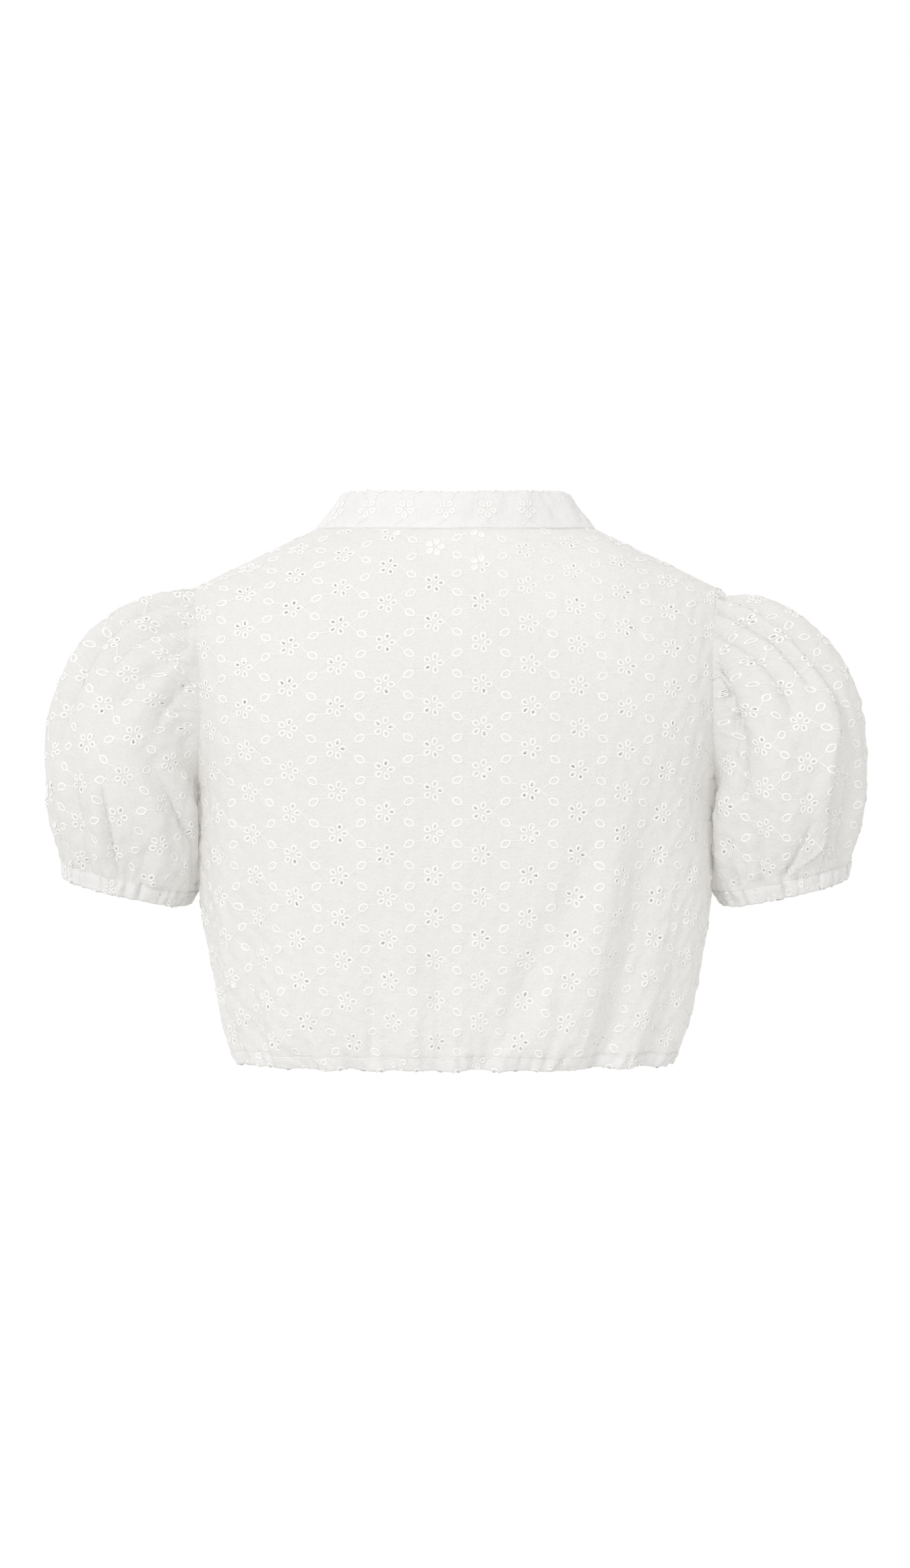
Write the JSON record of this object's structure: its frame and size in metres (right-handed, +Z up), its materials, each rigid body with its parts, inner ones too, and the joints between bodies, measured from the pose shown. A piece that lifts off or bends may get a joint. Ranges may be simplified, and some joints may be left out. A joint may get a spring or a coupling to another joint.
{
  "type": "dirndl blouse",
  "caption": "Cropped white eyelet-cotton dirndl blouse with a stand collar, puff sleeves and elastic casings, hollow as worn.",
  "frame": {"origin": "midway between the two side neck points, level with the seam where the collar meets the shoulders, on the line of the shoulders", "axes": "+X towards the wearer's left, +Z up, the front faces -Y and the back, which the picture shows, faces +Y"},
  "size_m": [0.612, 0.2399, 0.4249],
  "materials": {
    "eyelet_cotton": "matt white cotton with embroidered eyelets"
  },
  "bodies": {
    "root": {"back": "eyelet_cotton", "front": "eyelet_cotton", "collar": "eyelet_cotton", "hem_casing": "eyelet_cotton", "sleeve_left": "eyelet_cotton", "sleeve_right": "eyelet_cotton", "cuff_casing_left": "eyelet_cotton", "cuff_casing_right": "eyelet_cotton"}
  },
  "joints": []
}
